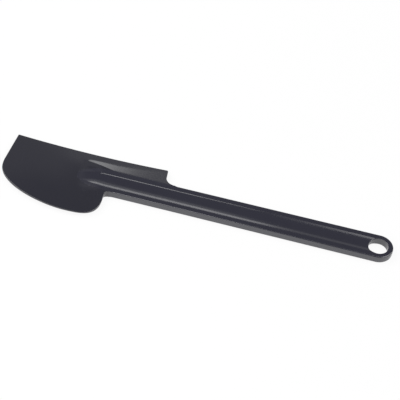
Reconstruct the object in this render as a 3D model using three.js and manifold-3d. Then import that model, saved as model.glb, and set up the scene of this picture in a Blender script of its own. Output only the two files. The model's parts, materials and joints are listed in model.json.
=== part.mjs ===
// Heat-resistant spatula: a rigid channelled handle with a hanging eye, whose spear-shaped spine and
// windowed tang are moulded into a flexible blade.
// Millimetres, +Z up. X runs along the handle towards the eye, +Y is the blade's straight edge.
import * as THREE from 'three';
import { mergeVertices } from 'three/addons/utils/BufferGeometryUtils.js';
import Module from 'manifold-3d';

// Handle
const GRIP_LENGTH = 138.6; // eye centre to the blade's back edge
const EYE_RADIUS = 9.5; // full-round end
const EYE_HOLE_DIAMETER = 12.4;
const NECK_WIDTH = 17.9;
const HANDLE_THICKNESS = 5.1;
const EDGE_ROUND = 0.7; // outer edges of the grip
const RIM_WIDTH = 3.5; // beside the channel, which is the same in both faces
const CHANNEL_DEPTH = 1.35;
const CHANNEL_STEP = 0.5; // rim's inner edge down to the channel's hollow
const CHANNEL_RADIUS = 13; // hollow across the channel
const CHANNEL_TIP = 0.8; // width of the channel where it runs out on the blade

// Spine and tang, the part of the handle that the blade is moulded round
const SPINE_LENGTH = 33.8; // parallel walls ahead of the blade's back edge
const SPEAR_LENGTH = 21.5; // rounded point ahead of the parallel walls
const RISE_LENGTH = 16; // over which the rims climb out of the blade's faces
const TANG_REACH = 5; // flange standing out from the spine's walls
const TANG_THICKNESS = 1.2;
const TANG_INSET = 6; // behind the blade's back and heel edges
const WINDOW_DIAMETER = 3; // holes in the tang that the blade fills
const WINDOW_PITCH = 8;
const SPEAR_WINDOW_ANGLE = 50; // degrees round the point, a window on each side
const SEAM = 0.3; // clearance between handle and blade

// Blade
const BLADE_LENGTH = 101.9; // back edge to nose
const FAR_REACH = 22.1; // handle axis to the straight edge's back corner
const FRONT_REACH = 22.2; // handle axis to its front corner
const FAR_HOLLOW = 1.7; // how far the straight edge bows in
const BELLY_REACH = 30.6; // handle axis to the lowest point of the belly
const BELLY_BACK = 43.7; // nose to the lowest point of the belly
const FRONT_RAKE = 5.4; // far front corner behind the nose
const NOSE_SIDE = 5.45; // foremost point off the axis, on the belly side
const HEEL_STEP = 36; // heel edge ahead of the back edge
const HEEL_SIDE = 12.3; // heel edge starts to round here
const HEEL_FILLET = 3.3; // heel edge into the spine's near wall
const BACK_FILLET = 6; // back edge into the handle's far wall
const BACK_CORNER = 1; // rounding of the far back corner
const BLADE_EDGE = 1; // thickness at the edges
const BLADE_ROOT = 3; // thickness at the spear's point
const RAMP_LENGTH = 53.8; // back edge to where the ramps start
const RAMP_TIP = 0.9; // width of the ramps there
const FLARE_LENGTH = 23.9; // over which the rims' outer edges sweep apart to it
const FLARE_TURN = 6; // length of the turn that starts the sweep
const FLARE_RADIUS = 24.5; // of that turn
const FOOT_INSET = 0.8; // ramp's foot, curving out, to the straight edge at the back corner

// Fullness of the belly's curves: a handle's share of the span it bends
const NOSE_FULLNESS = 0.635;
const BELLY_FULLNESS = 0.35;
const HEEL_FULLNESS = 0.47;

// Finish
const HANDLE_COLOUR = '#23242d';
const BLADE_COLOUR = '#26272c';
const HANDLE_ROUGHNESS = 0.32;
const BLADE_ROUGHNESS = 0.48;

// Facets
const ROUND_STEPS = 4; // along a rounded edge or a channel's hollow side
const CURVE_STEPS = 14; // along each curve of an outline
const SPEAR_STEPS = 10; // from the parallel walls to the point
const POINT_STEPS = 2; // stations from the point to where the ramps start
const PLATE_STEPS = 5; // stations along the blade ahead of the point
const RAMP_STEPS = 6; // stations along the ramps behind the sweep
const LENS_STEPS = 4; // from a ramp's foot to the blade's edge
const EYE_SEGMENTS = 64;
const MARGIN = 3; // a cutter's overshoot

// Stations along the handle, from the centre of the eye
const backX = -GRIP_LENGTH;
const neckX = backX + BACK_FILLET;
const flareX = backX - SPINE_LENGTH;
const tipX = flareX - SPEAR_LENGTH;
const rampX = backX - RAMP_LENGTH;
const sweepX = rampX + FLARE_LENGTH;
const noseX = backX - BLADE_LENGTH;
const heelX = backX - HEEL_STEP;
const throatX = heelX + HEEL_FILLET;
const midZ = HANDLE_THICKNESS / 2;
const spineHalf = NECK_WIDTH / 2;

const { clamp, lerp, degToRad } = THREE.MathUtils;
const wasm = await Module();
wasm.setup();

// Closed geometry to solid and back
function solidOf(geometry) {
  const bare = geometry.clone();
  bare.deleteAttribute('normal');
  bare.deleteAttribute('uv');
  const merged = mergeVertices(bare);
  const index = merged.index.array;
  const triangles = [];
  for (let i = 0; i < index.length; i += 3) {
    const [a, b, c] = index.slice(i, i + 3);
    if (a !== b && b !== c && c !== a) triangles.push(a, b, c);
  }
  const vertProperties = Float32Array.from(merged.attributes.position.array);
  const triVerts = Uint32Array.from(triangles);
  return new wasm.Manifold(new wasm.Mesh({ numProp: 3, vertProperties, triVerts }));
}

function geometryOf(solid) {
  const mesh = solid.getMesh();
  const geometry = new THREE.BufferGeometry();
  geometry.setAttribute('position', new THREE.Float32BufferAttribute(mesh.vertProperties, 3));
  geometry.setIndex(Array.from(mesh.triVerts));
  geometry.computeVertexNormals();
  return geometry;
}

// Solid through sections of equal point counts, each { x, ring } with the ring anticlockwise in Y and Z
function loft(sections) {
  const count = sections[0].ring.length;
  const positions = sections.flatMap(({ x, ring }) => ring.flatMap((p) => [x, p.x, p.y]));
  const index = [];
  for (let s = 0; s + 1 < sections.length; s += 1) {
    for (let j = 0; j < count; j += 1) {
      const a = s * count + j;
      const b = s * count + ((j + 1) % count);
      index.push(a, b, b + count, a, b + count, a + count);
    }
  }
  const last = (sections.length - 1) * count;
  for (const [a, b, c] of THREE.ShapeUtils.triangulateShape(sections[0].ring, [])) index.push(c, b, a);
  for (const [a, b, c] of THREE.ShapeUtils.triangulateShape(sections.at(-1).ring, [])) {
    index.push(last + a, last + b, last + c);
  }
  const geometry = new THREE.BufferGeometry();
  geometry.setAttribute('position', new THREE.Float32BufferAttribute(positions, 3));
  geometry.setIndex(index);
  return solidOf(geometry);
}

// Upright slab of a plan shape
function slab(shape, low, high) {
  const settings = { depth: high - low, bevelEnabled: false, curveSegments: CURVE_STEPS };
  return solidOf(new THREE.ExtrudeGeometry(shape, settings).translate(0, 0, low));
}

// Slab through the whole thickness and past both faces
const through = (shape) => slab(shape, -MARGIN, HANDLE_THICKNESS + MARGIN);

const steps = (count) => Array.from({ length: count + 1 }, (_, i) => i / count);
const point = (x, y) => new THREE.Vector2(x, y);

// Heights of the blade's faces, as half thicknesses about midZ

// The bare blade is a lens, thin at every edge
function plateHalf(x, y) {
  const reach = y > 0 ? FAR_REACH : BELLY_REACH;
  const crown = 1 - clamp(Math.abs(y) / reach, 0, 1) ** 2;
  const lead = 1 - clamp((tipX - x) / (tipX - noseX), 0, 1) ** 2;
  return (BLADE_EDGE + (BLADE_ROOT - BLADE_EDGE) * crown * lead) / 2;
}

// Lines in plan that a ramp runs between: the rim's flaring outer edge and the ramp's foot
function rimY(x) {
  const run = clamp(sweepX - x, 0, FLARE_LENGTH);
  const turn = Math.min(FLARE_TURN, run);
  return spineHalf + (turn * (run - turn / 2)) / FLARE_RADIUS;
}

function footY(x) {
  const along = clamp((x - rampX) / (backX - rampX), 0, 1);
  return lerp(rimY(rampX) + RAMP_TIP, FAR_REACH - FOOT_INSET, along ** 2);
}

// Share of the climb from the blade's face (0) to the handle's full thickness (1).
// It starts at the spear's point on the axis and further back at the sides.
function rise(x, y) {
  const start = lerp(tipX, rampX, clamp(Math.abs(y) / rimY(rampX), 0, 1) ** 2);
  const end = tipX + RISE_LENGTH;
  return Math.sin((Math.PI / 2) * clamp((x - start) / (end - start), 0, 1));
}

function collarHalf(x, y) {
  return lerp(plateHalf(x, y), HANDLE_THICKNESS / 2, rise(x, y));
}

// Both faces of blade and spine together: lens, ramps and rims, before the outlines are cut
function faces() {
  const plate = steps(PLATE_STEPS).map((t) => lerp(noseX, tipX, t));
  const start = steps(POINT_STEPS).map((t) => lerp(tipX, rampX, t));
  const flare = steps(SPEAR_STEPS).map((t) => lerp(rampX, sweepX, t));
  const ramp = steps(RAMP_STEPS).map((t) => lerp(sweepX, backX, t));
  const stations = new Set([noseX - MARGIN, ...plate, ...start, ...flare, ...ramp, neckX + MARGIN]);
  const sorted = [...stations].sort((a, b) => a - b);
  return loft(sorted.map((x) => ({ x, ring: faceSection(x) })));
}

function faceSection(x) {
  const rim = rimY(x);
  const foot = footY(x);
  const near = steps(LENS_STEPS).map((t) => lerp(-BELLY_REACH, -foot, t));
  const far = steps(LENS_STEPS).map((t) => lerp(foot, FAR_REACH, t));
  const lens = (y) => point(y, plateHalf(x, y));
  const collar = (y) => point(y, collarHalf(x, y));
  const outer = [
    ...[-BELLY_REACH - MARGIN, ...near].map(lens),
    ...[-rim, -rim / 2, 0, rim / 2, rim].map(collar),
    ...[...far, FRONT_REACH + MARGIN].map(lens),
  ];
  const low = outer.map((p) => point(p.x, midZ - p.y));
  const high = outer.map((p) => point(p.x, midZ + p.y));
  return [...low, ...high.reverse()];
}

// Plan outlines

// Point on the spear's elliptical end, turned by an angle from the wall (0) to the point (90 degrees)
function spearPoint(angle, grow, side) {
  const normal = point(-Math.sin(angle) / SPEAR_LENGTH, Math.cos(angle) / spineHalf).normalize();
  const x = flareX - SPEAR_LENGTH * Math.sin(angle) + grow * normal.x;
  const y = spineHalf * Math.cos(angle) + grow * normal.y;
  return point(x, side * y);
}

function spineOutline(endX, grow) {
  const angles = steps(SPEAR_STEPS).map((t) => (t * Math.PI) / 2);
  const near = angles.map((angle) => spearPoint(angle, grow, -1));
  const far = angles.slice(0, -1).reverse().map((angle) => spearPoint(angle, grow, 1));
  const half = spineHalf + grow;
  return [point(endX, -half), ...near, ...far, point(endX, half)];
}

function bladeOutline() {
  const front = point(noseX + FRONT_RAKE, FRONT_REACH);
  const aim = point(noseX, -NOSE_SIDE / 2);
  const turn = front.clone().sub(aim).setLength(NOSE_SIDE / 2).add(aim);
  const bellyX = noseX + BELLY_BACK;
  const bellySpan = BELLY_REACH - NOSE_SIDE;
  const heelPull = bellyX + HEEL_FULLNESS * (heelX - bellyX);
  const hollow = point((front.x + backX) / 2, (front.y + FAR_REACH) / 2 - 2 * FAR_HOLLOW);
  const outline = new THREE.Shape();
  outline.moveTo(backX - BACK_CORNER, FAR_REACH);
  outline.quadraticCurveTo(hollow.x, hollow.y, front.x, front.y);
  outline.lineTo(turn.x, turn.y);
  outline.quadraticCurveTo(aim.x, aim.y, noseX, -NOSE_SIDE);
  outline.bezierCurveTo(
    noseX, -NOSE_SIDE - NOSE_FULLNESS * bellySpan,
    bellyX - BELLY_FULLNESS * BELLY_BACK, -BELLY_REACH,
    bellyX, -BELLY_REACH,
  );
  outline.bezierCurveTo(heelPull, -BELLY_REACH, heelX, -BELLY_REACH, heelX, -HEEL_SIDE);
  outline.lineTo(heelX, -spineHalf - HEEL_FILLET);
  outline.absarc(throatX, -spineHalf - HEEL_FILLET, HEEL_FILLET, Math.PI, Math.PI / 2, true);
  outline.lineTo(neckX, spineHalf);
  outline.absarc(neckX, spineHalf + BACK_FILLET, BACK_FILLET, -Math.PI / 2, -Math.PI, true);
  outline.lineTo(backX, FAR_REACH - BACK_CORNER);
  outline.quadraticCurveTo(backX, FAR_REACH, backX - BACK_CORNER, FAR_REACH);
  return outline;
}

// Rounded rectangle across the grip, standing on the underside
function gripSection(half) {
  const high = HANDLE_THICKNESS - EDGE_ROUND;
  const corners = [
    [half - EDGE_ROUND, high, 0],
    [EDGE_ROUND - half, high, 1],
    [EDGE_ROUND - half, EDGE_ROUND, 2],
    [half - EDGE_ROUND, EDGE_ROUND, 3],
  ];
  return corners.flatMap(([y, z, quarter]) => steps(ROUND_STEPS).map((t) => {
    const angle = (quarter + t) * (Math.PI / 2);
    return point(y + EDGE_ROUND * Math.cos(angle), z + EDGE_ROUND * Math.sin(angle));
  }));
}

// The handle's outer walls, parallel as far as the neck and then widening to the eye
function wallY(x) {
  return lerp(EYE_RADIUS, spineHalf, clamp(x / neckX, 0, 1));
}

function grip() {
  return loft([throatX - MARGIN, neckX, 0].map((x) => ({ x, ring: gripSection(wallY(x)) })));
}

// Disc at the end of the grip, turned with the same rounded edges
function eye() {
  const inner = EYE_RADIUS - EDGE_ROUND;
  const edge = (z, from) => steps(ROUND_STEPS).map((t) => {
    const angle = from + (t * Math.PI) / 2;
    return point(inner + EDGE_ROUND * Math.cos(angle), z + EDGE_ROUND * Math.sin(angle));
  });
  const profile = [
    point(0, 0),
    ...edge(EDGE_ROUND, -Math.PI / 2),
    ...edge(HANDLE_THICKNESS - EDGE_ROUND, 0),
    point(0, HANDLE_THICKNESS),
  ];
  return solidOf(new THREE.LatheGeometry(profile, EYE_SEGMENTS).rotateX(Math.PI / 2));
}

function eyeHole() {
  const radius = EYE_HOLE_DIAMETER / 2;
  const hole = new THREE.CylinderGeometry(radius, radius, HANDLE_THICKNESS + 2 * MARGIN, EYE_SEGMENTS);
  return solidOf(hole.rotateX(Math.PI / 2).translate(0, 0, midZ));
}

// Channel in the upper (side 1) or lower (side -1) face, from the spear's point into the eye
function channel(side) {
  const spear = steps(SPEAR_STEPS).map((t) => lerp(tipX, flareX, t));
  const stations = [...spear, neckX, 0];
  return loft(stations.map((x) => ({ x, ring: channelSection(x, side) })));
}

function channelSection(x, side) {
  const along = clamp((flareX - x) / SPEAR_LENGTH, 0, 1);
  const half = Math.max(CHANNEL_TIP / 2, (wallY(x) - RIM_WIDTH) * Math.sqrt(1 - along ** 2));
  const rim = rimZ(x, half, side);
  const floor = floorZ(x, side);
  const depth = Math.max(0, side * (rim - floor));
  const step = (CHANNEL_STEP / CHANNEL_DEPTH) * depth;
  const sweep = Math.acos(clamp(1 - (depth - step) / CHANNEL_RADIUS, 0, 1));
  const width = Math.min(CHANNEL_RADIUS * Math.sin(sweep), half);
  const hollow = steps(ROUND_STEPS).map((t) => {
    const lift = (1 - Math.cos(sweep * t)) * CHANNEL_RADIUS;
    const out = sweep > 0 ? Math.sin(sweep * t) / Math.sin(sweep) : t;
    return point(half - width + width * out, floor + side * lift);
  });
  const top = point(half, rim + side * MARGIN);
  const right = [...hollow, top];
  const left = right.map((p) => point(-p.x, p.y)).reverse();
  const ring = [...left, ...right];
  return side > 0 ? ring : ring.reverse();
}

// Level of a rim and of a channel's floor along the handle
function rimZ(x, y, side) {
  return midZ + side * collarHalf(x, y);
}

function floorZ(x, side) {
  return midZ + side * lerp(BLADE_ROOT / 2, HANDLE_THICKNESS / 2 - CHANNEL_DEPTH, rise(x, 0));
}

// Flange round the spine, hidden in the blade; grown by the seam it is the slot that the flange sits in
function tang(grow) {
  const shape = new THREE.Shape(spineOutline(backX - TANG_INSET + grow, TANG_REACH + grow));
  for (const centre of windowCentres()) {
    const window = new THREE.Path();
    window.absarc(centre.x, centre.y, WINDOW_DIAMETER / 2 - grow, 0, 2 * Math.PI);
    shape.holes.push(window);
  }
  const half = TANG_THICKNESS / 2 + grow;
  return slab(shape, midZ - half, midZ + half).subtract(nearSide(heelX - TANG_INSET + grow));
}

// Everything on the belly's side of the axis, from a station back to the eye
function nearSide(x) {
  const corners = [point(x, 0), point(x, -BELLY_REACH), point(0, -BELLY_REACH), point(0, 0)];
  return through(new THREE.Shape(corners));
}

function windowCentres() {
  const line = TANG_REACH / 2;
  const run = SPINE_LENGTH - TANG_INSET;
  const count = Math.floor(run / WINDOW_PITCH);
  const row = Array.from({ length: count }, (_, i) => {
    const x = backX - TANG_INSET - run / 2 + (i - (count - 1) / 2) * WINDOW_PITCH;
    return point(x, spineHalf + line);
  });
  const angle = degToRad(SPEAR_WINDOW_ANGLE);
  const round = [spearPoint(angle, line, 1), spearPoint(angle, line, -1), spearPoint(Math.PI / 2, line, 1)];
  return [...row, ...round];
}

// The two mouldings

// Square-edged where the blade lies against it, and only there
function spine() {
  const outline = new THREE.Shape(spineOutline(neckX, 0));
  return through(outline).intersect(faces()).subtract(nearSide(throatX));
}

function handle() {
  const bar = grip().add(eye()).add(spine());
  return bar.subtract(channel(1)).subtract(channel(-1)).subtract(eyeHole()).add(tang(0));
}

function blade() {
  const socket = new THREE.Shape(spineOutline(neckX + MARGIN, SEAM));
  return through(bladeOutline()).intersect(faces()).subtract(through(socket)).subtract(tang(SEAM));
}

function mesh(name, solid, color, roughness) {
  const material = new THREE.MeshStandardMaterial({ color, roughness, metalness: 0 });
  const piece = new THREE.Mesh(geometryOf(solid), material);
  piece.name = name;
  return piece;
}

// Origin under the middle of the whole length and width, on the underside
const pieces = new THREE.Group();
pieces.add(mesh('handle', handle(), HANDLE_COLOUR, HANDLE_ROUGHNESS));
pieces.add(mesh('blade', blade(), BLADE_COLOUR, BLADE_ROUGHNESS));
pieces.position.set(-(noseX + EYE_RADIUS) / 2, (BELLY_REACH - FRONT_REACH) / 2, 0);

const spatula = new THREE.Group();
spatula.name = 'spatula';
spatula.add(pieces);

export default spatula;
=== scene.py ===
"""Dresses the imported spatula: a semi-gloss moulded handle and a satin moulded blade on a white table.

Both mouldings are drawn again from the part's own sizes, finer than its solids: rounded edges, walls that
lean in from a parting line, and faces that blend where the solids crease. Sizes are in millimetres, with
X = 0 at the centre of the hanging eye and Y = 0 on the handle's axis; place() puts them in the frame.
"""
import json
import math

import bpy
from mathutils import Matrix, Vector
from mathutils.geometry import delaunay_2d_cdt
from mathutils.kdtree import KDTree


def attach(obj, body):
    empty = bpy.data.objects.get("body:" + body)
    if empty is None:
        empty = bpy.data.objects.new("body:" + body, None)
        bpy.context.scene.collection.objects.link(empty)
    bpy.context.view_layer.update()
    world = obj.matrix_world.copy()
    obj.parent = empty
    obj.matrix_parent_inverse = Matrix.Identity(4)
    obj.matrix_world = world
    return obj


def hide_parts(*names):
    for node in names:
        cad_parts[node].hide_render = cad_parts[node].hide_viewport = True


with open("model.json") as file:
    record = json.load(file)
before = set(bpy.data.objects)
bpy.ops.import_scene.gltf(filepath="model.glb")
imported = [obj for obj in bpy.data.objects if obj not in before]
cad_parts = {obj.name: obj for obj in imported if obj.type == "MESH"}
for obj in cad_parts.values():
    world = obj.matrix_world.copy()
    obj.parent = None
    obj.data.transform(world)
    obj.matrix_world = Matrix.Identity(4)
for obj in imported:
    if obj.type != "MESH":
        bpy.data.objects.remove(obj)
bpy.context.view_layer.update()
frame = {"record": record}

MM = 0.001  # metres in a millimetre

# Handle
GRIP_LENGTH = 138.6  # eye centre to the blade's back edge
EYE_RADIUS = 9.5
EYE_HOLE_RADIUS = 6.2
NECK_WIDTH = 17.9
HANDLE_THICKNESS = 5.1
RIM_WIDTH = 3.5  # beside the channel, which is the same in both faces
CHANNEL_DEPTH = 1.35
CHANNEL_STEP = 0.5  # rim's inner edge down to the channel's hollow
CHANNEL_RADIUS = 13  # hollow across the channel
SPINE_LENGTH = 33.8  # parallel walls ahead of the blade's back edge
SPEAR_LENGTH = 21.5  # rounded point ahead of the parallel walls
RISE_LENGTH = 16  # over which the rims climb out of the blade's faces

# Blade
BLADE_LENGTH = 101.9  # back edge to nose
FAR_REACH = 22.1  # handle axis to the straight edge's back corner
FRONT_REACH = 22.2  # handle axis to its front corner
FAR_HOLLOW = 1.7  # how far the straight edge bows in
BELLY_REACH = 30.6  # handle axis to the lowest point of the belly
BELLY_BACK = 43.7  # nose to the lowest point of the belly
FRONT_RAKE = 5.4  # far front corner behind the nose
NOSE_SIDE = 5.45  # foremost point off the axis, on the belly side
HEEL_STEP = 36  # heel edge ahead of the back edge
HEEL_SIDE = 12.3  # heel edge starts to round here
HEEL_FILLET = 3.3  # heel edge into the spine's near wall
BACK_FILLET = 6  # back edge into the handle's far wall
BACK_CORNER = 1  # rounding of the far back corner
FRONT_CORNER = 0.4  # rounding of the far front corner
BLADE_EDGE = 1  # thickness at the edges
BLADE_ROOT = 3  # thickness at the spear's point
RAMP_LENGTH = 53.8  # back edge to where the ramps start
RAMP_TIP = 0.9  # width of the ramps there
FLARE_LENGTH = 23.9  # over which the rims' outer edges sweep apart to it
FLARE_TURN = 6  # length of the turn that starts the sweep
FLARE_RADIUS = 24.5  # of that turn
FOOT_INSET = 0.8  # ramp's foot, curving out, to the straight edge at the back corner
NOSE_FULLNESS = 0.635  # a curve handle's share of the span that it bends
BELLY_FULLNESS = 0.35
HEEL_FULLNESS = 0.47

# Softened creases, each the height over which two faces blend
RIM_BLEND = 0.05
FOOT_BLEND = 0.15

# Softened starts
RISE_EASE = 0.3  # share of the rise over which it starts, at the rims and the ramps
POINT_EASE = 1  # and on the axis
SINK = 1.3  # power of the rise with which the channel sinks at the spear's point
LIP_SLOPE = 1.2  # steepness of the channel's step
STEP_GROWTH = 3  # power of the channel's depth with which the step starts
STEP_END = 40  # the step is gone this far before the eye
STEP_FADE = 50  # length over which it runs out

# Edges and mesh
GRIP_ROUND = 0.7  # outer edges of the grip
HOLE_ROUND = 0.3
BLADE_ROUND = 0.3
SEAM_ROUND = 0.02  # where handle and blade meet
SEAM = 0.02  # gap left between them
FADE = 1.5  # length over which the grip's rounding runs out under the blade
WEB = 0.1  # thickness at which the blade's two fillets end
WEB_SHARE = 0.3  # largest rounding in a web, as a share of its thickness
LEAN = 0.05  # how far a wall leans in from its parting line, as a share of the rounding
SUPPORT = 0.25  # ring of the face beside a rounding, as a share of the rounding
ROUND_STEPS = 6
WALL_STOPS = (0.1, 0.47, 0.5, 0.53, 0.9)  # rings up a wall, as shares of its height
STEP = 1.0  # along the outlines
ARC_STEP = 5  # degrees
SPEAR_STEPS = 40  # from a parallel wall to the point
HANDLE_GRID = 1.0  # triangles that fill the faces
BLADE_GRID = 0.9
GRID_CLEAR = 0.6  # least distance of the grid from other points, as a share of its step
MERGE = 1e-6  # plan points closer than this are one
INSIDE = 1  # has the triangulation keep what lies inside the outlines

# Mesh lines, each by how far out it lies from the channel's lip or from the rim's flaring edge
LIP_LINES = (0.7, 0.45, 0.35, 0.25, 0.15, 0.05, -0.05, -0.15, -0.25, -0.35, -0.45, -0.7, -1.2, -2, -3)
LIP_TURN = 80  # degrees round the spear's end at which the lip's lines start
RIM_LINES = (-0.3, -0.1, 0.1, 0.3)
RIM_CLEAR = 0.2  # least distance of the rim's lines from the spine's walls

BACK_X = -GRIP_LENGTH
NECK_X = BACK_X + BACK_FILLET
FLARE_X = BACK_X - SPINE_LENGTH
TIP_X = FLARE_X - SPEAR_LENGTH
RAMP_X = BACK_X - RAMP_LENGTH
SWEEP_X = RAMP_X + FLARE_LENGTH
NOSE_X = BACK_X - BLADE_LENGTH
HEEL_X = BACK_X - HEEL_STEP
THROAT_X = HEEL_X + HEEL_FILLET
MID_Z = HANDLE_THICKNESS / 2
SPINE_HALF = NECK_WIDTH / 2

mounts = {mount["name"]: mount["pos_m"] for mount in frame["record"]["mounts"]}
EYE_AT = Vector((mounts["hanging_eye"][0], mounts["hanging_eye"][1], 0))


def place(x, y, z):
    return EYE_AT + Vector((x, y, z)) * MM


def clamp(value):
    return min(1, max(0, value))


def lerp(a, b, share):
    return a + (b - a) * share


def soft_min(a, b, blend):
    overlap = max(0, blend - abs(a - b))
    return min(a, b) - (overlap * overlap / blend / 4 if overlap else 0)


def soft_max(a, b, blend):
    return -soft_min(-a, -b, blend)


def smooth(share):
    share = clamp(share)
    return share * share * (3 - 2 * share)


# Heights of the faces, as half thicknesses about MID_Z


def plate_half(x, y):
    """The bare blade, a lens that is thin at every edge."""
    reach = FAR_REACH if y > 0 else BELLY_REACH
    crown = 1 - clamp(abs(y) / reach) ** 2
    lead = 1 - clamp((TIP_X - x) / (TIP_X - NOSE_X)) ** 2
    return (BLADE_EDGE + (BLADE_ROOT - BLADE_EDGE) * crown * lead) / 2


def rim_y(x):
    """The rim's outer edge, which flares out over the blade."""
    run = min(FLARE_LENGTH, max(0, SWEEP_X - x))
    turn = min(FLARE_TURN, run)
    return SPINE_HALF + turn * (run - turn / 2) / FLARE_RADIUS


def foot_y(x):
    """Where a ramp from the rim runs out on the blade."""
    along = clamp((x - RAMP_X) / (BACK_X - RAMP_X))
    return lerp(rim_y(RAMP_X) + RAMP_TIP, FAR_REACH - FOOT_INSET, along * along)


def rise(x, y):
    """Share of the climb from the blade's face to the handle's full thickness."""
    start = lerp(TIP_X, RAMP_X, clamp(abs(y) / rim_y(RAMP_X)) ** 2)
    climb = clamp((x - start) / (TIP_X + RISE_LENGTH - start))
    ease = lerp(POINT_EASE, RISE_EASE, clamp(abs(y) / SPINE_HALF) ** 2)
    eased = climb * climb / ease / 2 if climb < ease else climb - ease / 2
    return math.sin(math.pi / 2 * eased / (1 - ease / 2))


def collar_half(x, y):
    return lerp(plate_half(x, y), HANDLE_THICKNESS / 2, rise(x, y))


def face_half(x, y):
    """Blade, ramps and rims together, before the channel."""
    rim, foot = rim_y(x), foot_y(x)
    crest = collar_half(x, rim)
    stand = crest - plate_half(x, rim)
    slope = (crest - plate_half(x, foot)) / (foot - rim)
    ramp = crest - slope * (abs(y) - rim)
    above = soft_min(collar_half(x, y), ramp, min(RIM_BLEND, stand))
    return soft_max(plate_half(x, y), above, min(FOOT_BLEND, stand))


def wall_y(x):
    """The handle's outer walls, parallel as far as the neck and then widening to the eye."""
    return lerp(EYE_RADIUS, SPINE_HALF, clamp(x / NECK_X))


def spear_share(x):
    """Width of the spear at a station, as a share of its full width."""
    along = clamp((FLARE_X - x) / SPEAR_LENGTH)
    return math.sqrt(1 - along * along)


def handle_half(x, y):
    """The handle's face, with the dished channel sunk between its rims as far as the eye's hole."""
    rim = face_half(x, y) if x < NECK_X else HANDLE_THICKNESS / 2
    floor = collar_half(x, 0) - CHANNEL_DEPTH * rise(x, 0) ** SINK
    depth, spread = rim - floor, spear_share(x)
    if depth <= 0 or spread == 0 or x > 0:
        return rim
    stepped = (depth / CHANNEL_DEPTH) ** STEP_GROWTH * (1 - smooth(1 + (x + STEP_END) / STEP_FADE))
    step = CHANNEL_STEP * stepped
    sweep = math.acos(1 - (depth - step) / CHANNEL_RADIUS)
    slope = lerp(math.tan(sweep), LIP_SLOPE, stepped)
    half = (wall_y(x) - RIM_WIDTH) * spread - step / slope
    width = min(CHANNEL_RADIUS * math.sin(sweep), half)
    out = max(0, abs(y) - half + width)
    turn = math.asin(min(1, out / width) * math.sin(sweep))
    hollow = floor + CHANNEL_RADIUS * (1 - math.cos(turn)) + max(0, out - width) * slope
    return soft_min(hollow, rim, step + RIM_BLEND)


def handle_faces(x, y):
    """Heights of the handle's lower and upper face."""
    half = handle_half(x, y)
    return MID_Z - half, MID_Z + half


def blade_faces(x, y):
    half = face_half(x, y)
    return MID_Z - half, MID_Z + half


# Plan curves, each a list of points with the last left to the curve that follows


def on_curve(controls, share):
    while len(controls) > 1:
        controls = [a.lerp(b, share) for a, b in zip(controls, controls[1:])]
    return controls[0]


def curve(*corners):
    """A straight line, or a Bezier curve of as many control points as it is given."""
    controls = [Vector(corner) for corner in corners]
    length = sum((b - a).length for a, b in zip(controls, controls[1:]))
    count = max(2, math.ceil(length / STEP))
    return [on_curve(controls, i / count) for i in range(count)]


def arc(x, y, radius, start, end):
    count = max(2, math.ceil(abs(end - start) / ARC_STEP))
    angles = [math.radians(lerp(start, end, i / count)) for i in range(count)]
    return [Vector((x + radius * math.cos(a), y + radius * math.sin(a))) for a in angles]


def spear(degrees, grow, side):
    """Point on the spine's elliptical end, turned from its wall (0) to the point (90)."""
    sine, cosine = math.sin(math.radians(degrees)), math.cos(math.radians(degrees))
    out = Vector((-sine / SPEAR_LENGTH, cosine / SPINE_HALF)).normalized() * grow
    return Vector((FLARE_X - SPEAR_LENGTH * sine + out.x, side * (SPINE_HALF * cosine + out.y)))


def spine_plan(grow, far_end, near_end):
    """Round the spine from its far wall to its near wall."""
    half = SPINE_HALF + grow
    turns = [90 * i / SPEAR_STEPS for i in range(SPEAR_STEPS)]
    far = curve((far_end, half), (FLARE_X, half))
    point = [spear(turn, grow, 1) for turn in turns] + [spear(90 - turn, grow, -1) for turn in turns]
    near = curve((FLARE_X, -half), (near_end, -half))
    return far + point + near


def handle_plan():
    far = curve((0, EYE_RADIUS), (NECK_X, SPINE_HALF))
    near = curve((NECK_X, -SPINE_HALF), (0, -EYE_RADIUS))
    return far + spine_plan(-SEAM / 2, NECK_X, NECK_X) + near + arc(0, 0, EYE_RADIUS, -90, 90)


def handle_round(point):
    covered = THROAT_X if point.y < 0 else NECK_X
    bare = (point.x - covered) / FADE
    return lerp(SEAM_ROUND, GRIP_ROUND, smooth(bare))


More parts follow.
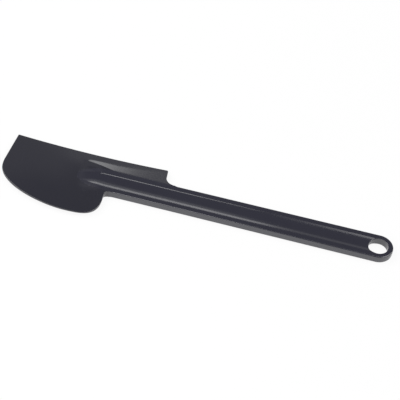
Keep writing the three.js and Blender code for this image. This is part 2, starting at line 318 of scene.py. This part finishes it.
def blade_plan():
    """The blade's free edges, from the back fillet to the heel fillet."""
    back_turn = math.degrees(math.acos(1 - WEB / BACK_FILLET))
    heel_turn = math.degrees(math.acos(1 - WEB / HEEL_FILLET))
    front = Vector((NOSE_X + FRONT_RAKE, FRONT_REACH))
    aim = Vector((NOSE_X, -NOSE_SIDE / 2))
    down = (aim - front).normalized()
    turn = aim - down * NOSE_SIDE / 2
    hollow = Vector(((front.x + BACK_X) / 2, (front.y + FAR_REACH) / 2 - 2 * FAR_HOLLOW))
    back = front + (hollow - front).normalized() * FRONT_CORNER
    belly_x = NOSE_X + BELLY_BACK
    belly_span = BELLY_REACH - NOSE_SIDE
    far_edge = curve((BACK_X - BACK_CORNER, FAR_REACH), hollow, front)
    return (
        arc(NECK_X, SPINE_HALF + BACK_FILLET, BACK_FILLET, -90 - back_turn, -180)
        + curve((BACK_X, SPINE_HALF + BACK_FILLET), (BACK_X, FAR_REACH - BACK_CORNER))
        + curve((BACK_X, FAR_REACH - BACK_CORNER), (BACK_X, FAR_REACH), (BACK_X - BACK_CORNER, FAR_REACH))
        + [point for point in far_edge if (point - front).length > FRONT_CORNER + STEP / 2]
        + curve(back, front, front + down * FRONT_CORNER)
        + curve(front + down * FRONT_CORNER, turn)
        + curve(turn, aim, (NOSE_X, -NOSE_SIDE))
        + curve(
            (NOSE_X, -NOSE_SIDE),
            (NOSE_X, -NOSE_SIDE - NOSE_FULLNESS * belly_span),
            (belly_x - BELLY_FULLNESS * BELLY_BACK, -BELLY_REACH),
            (belly_x, -BELLY_REACH),
        )
        + curve(
            (belly_x, -BELLY_REACH),
            (lerp(belly_x, HEEL_X, HEEL_FULLNESS), -BELLY_REACH),
            (HEEL_X, -BELLY_REACH),
            (HEEL_X, -HEEL_SIDE),
        )
        + curve((HEEL_X, -HEEL_SIDE), (HEEL_X, -SPINE_HALF - HEEL_FILLET))
        + arc(THROAT_X, -SPINE_HALF - HEEL_FILLET, HEEL_FILLET, 180, 90 + heel_turn)
    )


def blade_round(point):
    web = abs(point.y) - SPINE_HALF if point.x > TIP_X else math.inf
    return min(BLADE_ROUND, WEB_SHARE * web)


def socket_plan():
    """The blade's inside walls, from the heel fillet to the back fillet."""
    back_run = math.sqrt(BACK_FILLET**2 - (BACK_FILLET - WEB) ** 2)
    heel_run = math.sqrt(HEEL_FILLET**2 - (HEEL_FILLET - WEB) ** 2)
    heel_x = THROAT_X - heel_run
    heel_tip = [Vector((heel_x, -SPINE_HALF - WEB)), Vector((heel_x, -SPINE_HALF - SEAM / 2))]
    return heel_tip + spine_plan(SEAM / 2, NECK_X - back_run, heel_x)[::-1]


def channel_lines():
    """Mesh lines along both sides of the channel, from the spear's point to the hole. Every other line is
    half a step ahead, so that the triangles between two lines are all alike."""
    lines = []
    clear = EYE_HOLE_RADIUS + 2 * HOLE_ROUND
    for row, offset in enumerate(LIP_LINES):
        ahead = row % 2 / 2
        turns = [math.radians(LIP_TURN * (1 - (i + ahead) / SPEAR_STEPS)) for i in range(SPEAR_STEPS)]
        stations = [FLARE_X - SPEAR_LENGTH * math.sin(turn) for turn in turns]
        stations += [FLARE_X + (i + ahead) * STEP for i in range(math.floor(-FLARE_X / STEP))]
        for side in (1, -1):
            line = [Vector((x, side * (wall_y(x) - RIM_WIDTH + offset) * spear_share(x))) for x in stations]
            lines.append([point for point in line if point.length > clear])
    return lines


def rim_lines():
    """Mesh lines along the rims' flaring edges on the blade, clear of the spine's walls."""
    lines = []
    for side, start in ((1, SWEEP_X), (-1, HEEL_X - STEP)):
        stations = [point.x for point in curve((start, 0), (RAMP_X, 0))]
        for offset in RIM_LINES:
            clear = [x for x in stations if rim_y(x) + offset > SPINE_HALF * spear_share(x) + RIM_CLEAR]
            lines.append([Vector((x, side * (rim_y(x) + offset))) for x in clear])
    return lines


# Mesh


def edge_rings():
    """Rings round an edge from the lower face to the upper one, for a rounding of 1: inset from the outline,
    share of the thickness, and height added to that."""
    turns = [math.pi / 2 * i / ROUND_STEPS for i in range(ROUND_STEPS + 1)]
    lower = [(1 + LEAN + SUPPORT, 0, 0)]
    lower += [(1 + LEAN - math.sin(turn), 0, 1 - math.cos(turn)) for turn in turns]
    walls = [(LEAN * abs(2 * stop - 1), stop, 1 - 2 * stop) for stop in WALL_STOPS]
    return lower + walls + [(inset, 1, -lift) for inset, _, lift in reversed(lower)]


def moulding(name, loops, lines, faces, grid):
    """A closed mesh from plan loops of (point, rounding): rounded walls round each loop, and the two faces
    draped over one triangulated plan. The first loop runs anticlockwise and the holes clockwise."""
    rings = edge_rings()
    verts, polygons = [], []
    plan, edges, holes, lower, upper = [], [], [], {}, {}
    for loop in loops:
        first, corner, count = len(verts), len(plan), len(loop)
        for i, (point, radius) in enumerate(loop):
            along = (loop[(i + 1) % count][0] - loop[i - 1][0]).normalized()
            inward = Vector((-along.y, along.x))
            for inset, share, lift in rings:
                x, y = point + inward * inset * radius
                low, top = faces(x, y)
                verts.append((x, y, lerp(low, top, share) + lift * radius))
            plan.append(Vector((x, y)))
            lower[corner + i] = len(verts) - len(rings)
            upper[corner + i] = len(verts) - 1
            edges.append((corner + i, corner + (i + 1) % count))
            for k in range(len(rings) - 1):
                a = first + i * len(rings) + k
                b = first + (i + 1) % count * len(rings) + k
                polygons.append((a, b, b + 1, a + 1))
        if corner:
            holes.append(plan[corner:])
    for line in lines:
        edges += [(len(plan) + i, len(plan) + i + 1) for i in range(len(line) - 1)]
        plan += line
    plan += filler(plan, grid)

    spots, _, triangles, origins, _, _ = delaunay_2d_cdt(plan, edges, [], INSIDE, MERGE)
    kept = [triangle for triangle in triangles if not in_hole(spots, triangle, holes)]
    low_of, top_of = {}, {}
    for spot in sorted({corner for triangle in kept for corner in triangle}):
        rim = [origin for origin in origins[spot] if origin in lower]
        if rim:
            low_of[spot], top_of[spot] = lower[rim[0]], upper[rim[0]]
            continue
        x, y = spots[spot]
        low_of[spot], top_of[spot] = len(verts), len(verts) + 1
        verts += [(x, y, height) for height in faces(x, y)]
    for a, b, c in kept:
        polygons.append((top_of[a], top_of[b], top_of[c]))
        polygons.append((low_of[c], low_of[b], low_of[a]))

    mesh = bpy.data.meshes.new(name)
    mesh.from_pydata([place(*vert) for vert in verts], [], polygons)
    mesh.shade_smooth()
    piece = bpy.data.objects.new(name, mesh)
    bpy.context.scene.collection.objects.link(piece)
    return piece


def filler(plan, grid):
    """Points of a triangular grid that keep clear of the plan's own points."""
    tree = KDTree(len(plan))
    for i, point in enumerate(plan):
        tree.insert((point.x, point.y, 0), i)
    tree.balance()
    low = Vector((min(p.x for p in plan), min(p.y for p in plan)))
    high = Vector((max(p.x for p in plan), max(p.y for p in plan)))
    row_step = grid * math.sqrt(3) / 2
    points = []
    for row in range(math.ceil((high.y - low.y) / row_step)):
        for column in range(math.ceil((high.x - low.x) / grid)):
            x = low.x + (column + row % 2 / 2) * grid
            y = low.y + row * row_step
            if tree.find((x, y, 0))[2] > GRID_CLEAR * grid:
                points.append(Vector((x, y)))
    return points


def in_hole(spots, triangle, holes):
    middle = sum((spots[corner] for corner in triangle), Vector((0, 0))) / 3
    for hole in holes:
        centre = sum(hole, Vector((0, 0))) / len(hole)
        if (middle - centre).length < (hole[0] - centre).length:
            return True
    return False


# Finishes


def linear(hex_colour):
    """Scene-linear colour of an sRGB hex value."""
    parts = [int(hex_colour[i:i + 2], 16) / 255 for i in (1, 3, 5)]
    return [c / 12.92 if c <= 0.04045 else ((c + 0.055) / 1.055) ** 2.4 for c in parts] + [1]


def add(tree, kind, inputs=(), **settings):
    """A node with its settings, and its inputs set to values or linked to other nodes' outputs."""
    node = tree.nodes.new(kind)
    for key, value in settings.items():
        setattr(node, key, value)
    for socket, value in dict(inputs).items():
        if isinstance(value, bpy.types.NodeSocket):
            tree.links.new(value, node.inputs[socket])
        else:
            node.inputs[socket].default_value = value
    return node


def empty_material(name):
    material = bpy.data.materials.new(name)
    material.use_nodes = True
    material.node_tree.nodes.clear()
    return material, material.node_tree


def per_metre(millimetres):
    """Texture scale for a pattern of that size."""
    return 1 / (millimetres * MM)


def glass_filled_polyamide():
    """Injection-moulded in a polished tool: a resin-rich skin with a soft gloss, long faint flow marks and a
    slight ripple that breaks up its reflections."""
    material, tree = empty_material("glass_filled_polyamide_moulded")
    where = add(tree, "ShaderNodeTexCoord").outputs["Object"]
    stretch = (per_metre(70), per_metre(5), per_metre(5))  # flow marks run along the handle
    streaks = add(tree, "ShaderNodeMapping", {"Vector": where, "Scale": stretch})
    flow = add(tree, "ShaderNodeTexNoise", {"Vector": streaks.outputs["Vector"], "Scale": 1, "Detail": 3})
    tint = add(tree, "ShaderNodeMix", {
        "Factor": flow.outputs["Fac"], "A": linear("#262632"), "B": linear("#292935"),
    }, data_type="RGBA")
    haze = add(tree, "ShaderNodeTexNoise", {"Vector": where, "Scale": per_metre(9), "Detail": 4})
    gloss = add(tree, "ShaderNodeMapRange", {"Value": haze.outputs["Fac"], "To Min": 0.13, "To Max": 0.2})
    ripple = add(tree, "ShaderNodeTexNoise", {"Vector": where, "Scale": per_metre(2.5), "Detail": 2})
    skin = add(tree, "ShaderNodeBump", {
        "Height": ripple.outputs["Fac"], "Strength": 0.05, "Distance": 0.03 * MM,
    })
    shader = add(tree, "ShaderNodeBsdfPrincipled", {
        "Base Color": tint.outputs["Result"], "Roughness": gloss.outputs["Result"],
        "Normal": skin.outputs["Normal"], "IOR": 1.58, "Specular IOR Level": 1,
    })
    add(tree, "ShaderNodeOutputMaterial", {"Surface": shader.outputs["BSDF"]})
    return material


def heat_resistant_elastomer():
    """Moulded in a lightly spark-eroded tool: satin, with a fine even grain that spreads the highlights and
    faint cloudy patches where the skin is a little duller."""
    material, tree = empty_material("heat_resistant_elastomer_moulded")
    where = add(tree, "ShaderNodeTexCoord").outputs["Object"]
    clouds = add(tree, "ShaderNodeTexNoise", {"Vector": where, "Scale": per_metre(25), "Detail": 4})
    tint = add(tree, "ShaderNodeMix", {
        "Factor": clouds.outputs["Fac"], "A": linear("#25252e"), "B": linear("#282831"),
    }, data_type="RGBA")
    gloss = add(tree, "ShaderNodeMapRange", {"Value": clouds.outputs["Fac"], "To Min": 0.12, "To Max": 0.18})
    grain = add(tree, "ShaderNodeTexNoise", {"Vector": where, "Scale": per_metre(0.6), "Detail": 2})
    skin = add(tree, "ShaderNodeBump", {
        "Height": grain.outputs["Fac"], "Strength": 0.15, "Distance": 0.02 * MM,
    })
    shader = add(tree, "ShaderNodeBsdfPrincipled", {
        "Base Color": tint.outputs["Result"], "Roughness": gloss.outputs["Result"],
        "Normal": skin.outputs["Normal"], "IOR": 1.5, "Specular IOR Level": 1,
    })
    add(tree, "ShaderNodeOutputMaterial", {"Surface": shader.outputs["BSDF"]})
    return material


# Stage

TABLE_REACH = 6.0  # metres from the middle to each side
TABLE_DROP = 0.2  # table below the part
TABLE_GLOW = 0.9  # share of the table's look that is its own light
WORLD_STRENGTH = 0.12

# Lamps, each with its place, what it faces, its width and height in metres and how bright it is. A low strip
# behind the blade draws the channel's near side and the ramp; the sides give most of the light.
LAMPS = (
    ("rear_strip", (-0.39, 0.42, 0.0905), (-0.39, 0, 0.0905), 0.88, 0.181, 1.2),
    ("rear_right", (0.2, 0.42, 0.089), (0.2, 0, 0.089), 0.3, 0.178, 0.15),
    ("rear_glow", (-0.025, 0.42, 0.265), (-0.025, 0, 0.1), 0.13, 0.17, 0.25),
    ("rear_left", (-0.47, 0.42, 0.312), (-0.47, 0, 0), 0.77, 0.234, 0.105),
    ("front_left", (-0.4, -0.55, 0.46), (-0.4, 0, 0), 0.87, 0.45, 2.4),
    ("overhead_right", (0.405, -0.1, 0.9), (0.405, 0, 0), 0.56, 0.28, 1.7),
    ("left", (-0.84, 0.1, 0.93), (0, 0, 0), 1.2, 0.8, 3.1),
    ("right", (0.84, 0.1, 0.93), (0, 0, 0), 1.2, 0.8, 2.76),
)


def white_table():
    """Matt white, and glowing as a lit table does for the eye and in reflections; it keeps a faint shadow."""
    material, tree = empty_material("matt_white_table")
    path = add(tree, "ShaderNodeLightPath").outputs
    seen = add(tree, "ShaderNodeMath", [
        (0, path["Is Camera Ray"]), (1, path["Is Glossy Ray"]),
    ], operation="MAXIMUM")
    seen = add(tree, "ShaderNodeMath", [
        (0, seen.outputs[0]), (1, path["Is Transmission Ray"]),
    ], operation="MAXIMUM")
    glow = add(tree, "ShaderNodeMath", [(0, seen.outputs[0]), (1, TABLE_GLOW)], operation="MULTIPLY")
    matt = add(tree, "ShaderNodeBsdfDiffuse", {"Color": linear("#f4f4f4")})
    light = add(tree, "ShaderNodeEmission", {"Color": linear("#ffffff"), "Strength": 1})
    mix = add(tree, "ShaderNodeMixShader", [
        (0, glow.outputs[0]), (1, matt.outputs[0]), (2, light.outputs[0]),
    ])
    add(tree, "ShaderNodeOutputMaterial", {"Surface": mix.outputs[0]})
    return material


def softbox(name, at, aim, width, height, radiance):
    """A plain area lamp, whose power follows from how bright its face is."""
    lamp = bpy.data.lights.new(name, "AREA")
    lamp.shape = "RECTANGLE"
    lamp.size, lamp.size_y = width, height
    lamp.energy = radiance * math.pi * width * height
    piece = bpy.data.objects.new(name, lamp)
    piece.location = at
    piece.rotation_mode = "QUATERNION"
    piece.rotation_quaternion = (Vector(aim) - Vector(at)).to_track_quat("-Z", "Y")
    piece.visible_camera = False
    bpy.context.scene.collection.objects.link(piece)


def light_stage():
    table = bpy.data.meshes.new("table")
    sides = [(-1, -1), (1, -1), (1, 1), (-1, 1)]
    corners = [(x * TABLE_REACH, y * TABLE_REACH, -TABLE_DROP * MM) for x, y in sides]
    table.from_pydata(corners, [], [(0, 1, 2, 3)])
    table.materials.append(white_table())
    floor = bpy.data.objects.new("table", table)
    bpy.context.scene.collection.objects.link(floor)

    world = bpy.data.worlds.new("studio")
    world.use_nodes = True
    sky = world.node_tree.nodes["Background"].inputs
    sky["Color"].default_value = linear("#ffffff")
    sky["Strength"].default_value = WORLD_STRENGTH
    bpy.context.scene.world = world

    for lamp in LAMPS:
        softbox(*lamp)


# Camera

VIEW_RIGHT = Vector((0.9715, 0.1637, 0.1706))
VIEW_UP = Vector((-0.2357, 0.715, 0.6567))
VIEW_WIDTH = 250  # millimetres across the frame
EYE_RIGHT = 111.65  # the eye's upper face lies this far right of the middle of the frame
EYE_DOWN = 28.77  # and this far below it
LENS = 800
SENSOR = 36


def aim_camera():
    right = VIEW_RIGHT.normalized()
    back = right.cross(VIEW_UP).normalized()
    up = back.cross(right)
    middle = place(0, 0, HANDLE_THICKNESS) + (up * EYE_DOWN - right * EYE_RIGHT) * MM
    data = bpy.data.cameras.new("camera")
    data.lens, data.sensor_width = LENS, SENSOR
    camera = bpy.data.objects.new("camera", data)
    turn = Matrix((right, up, back)).transposed()
    camera.matrix_world = Matrix.LocRotScale(middle + back * VIEW_WIDTH * MM * LENS / SENSOR, turn, None)
    bpy.context.scene.collection.objects.link(camera)
    bpy.context.scene.camera = camera


# The two mouldings in their places

handle_edge = [(point, handle_round(point)) for point in handle_plan()]
hole_edge = [(point, HOLE_ROUND) for point in arc(0, 0, EYE_HOLE_RADIUS, 360, 0)]
handle = moulding("handle_moulding", [handle_edge, hole_edge], channel_lines(), handle_faces, HANDLE_GRID)
handle.data.materials.append(glass_filled_polyamide())
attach(handle, "root")
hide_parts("handle")

blade_edge = [(point, blade_round(point)) for point in blade_plan()]
blade_edge += [(point, SEAM_ROUND) for point in socket_plan()]
blade = moulding("blade_moulding", [blade_edge], rim_lines(), blade_faces, BLADE_GRID)
blade.data.materials.append(heat_resistant_elastomer())
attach(blade, "root")
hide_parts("blade")

light_stage()
aim_camera()
bpy.context.scene.view_settings.view_transform = "Standard"
